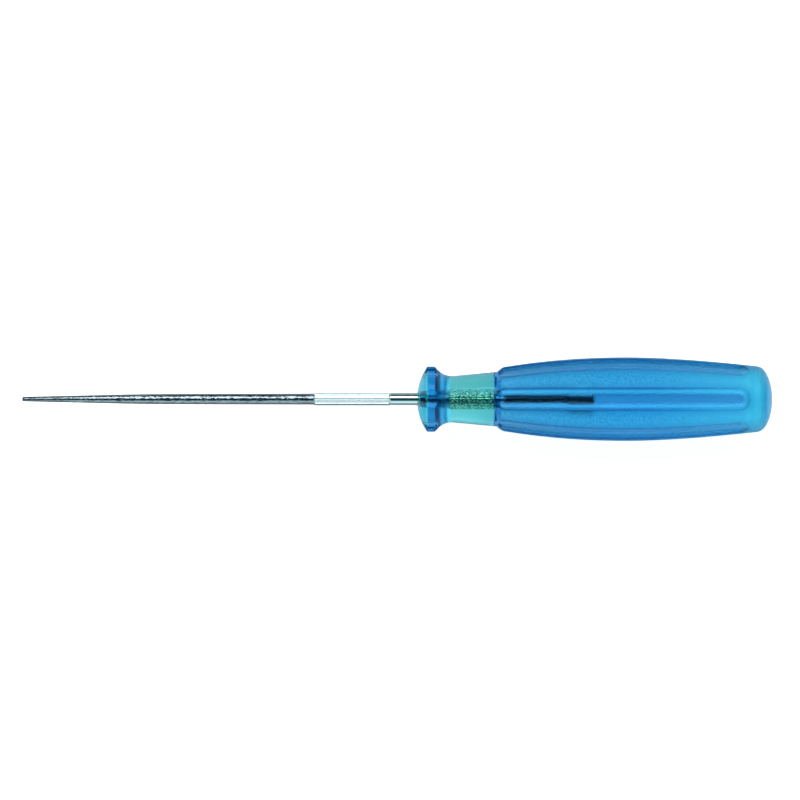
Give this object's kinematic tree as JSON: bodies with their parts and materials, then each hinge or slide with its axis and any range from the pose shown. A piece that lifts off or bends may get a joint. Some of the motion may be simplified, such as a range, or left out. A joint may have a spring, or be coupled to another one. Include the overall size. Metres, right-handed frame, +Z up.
{
  "type": "pick tool",
  "caption": "Straight hand pick: a slim steel blade with a long tapered point and a knurled finger grip, cast into a fluted translucent blue handle with a notched anti-roll flange.",
  "frame": {"origin": "on the tool's axis, halfway between the point and the handle's end", "axes": "+X along the tool's axis from the point to the handle's end, +Z up through a flute when the tool lies flat, +Y across it through a lobe of the grip"},
  "size_m": [0.19, 0.0212, 0.0206],
  "materials": {
    "plated_steel": "bright plated bar, with fine grinding marks on the tapered front",
    "blue_plastic": "translucent blue, polished on the flange, neck and end, frosted on the fluted grip"
  },
  "bodies": {
    "root": {"blade": "plated_steel", "handle": "blue_plastic"}
  },
  "joints": []
}
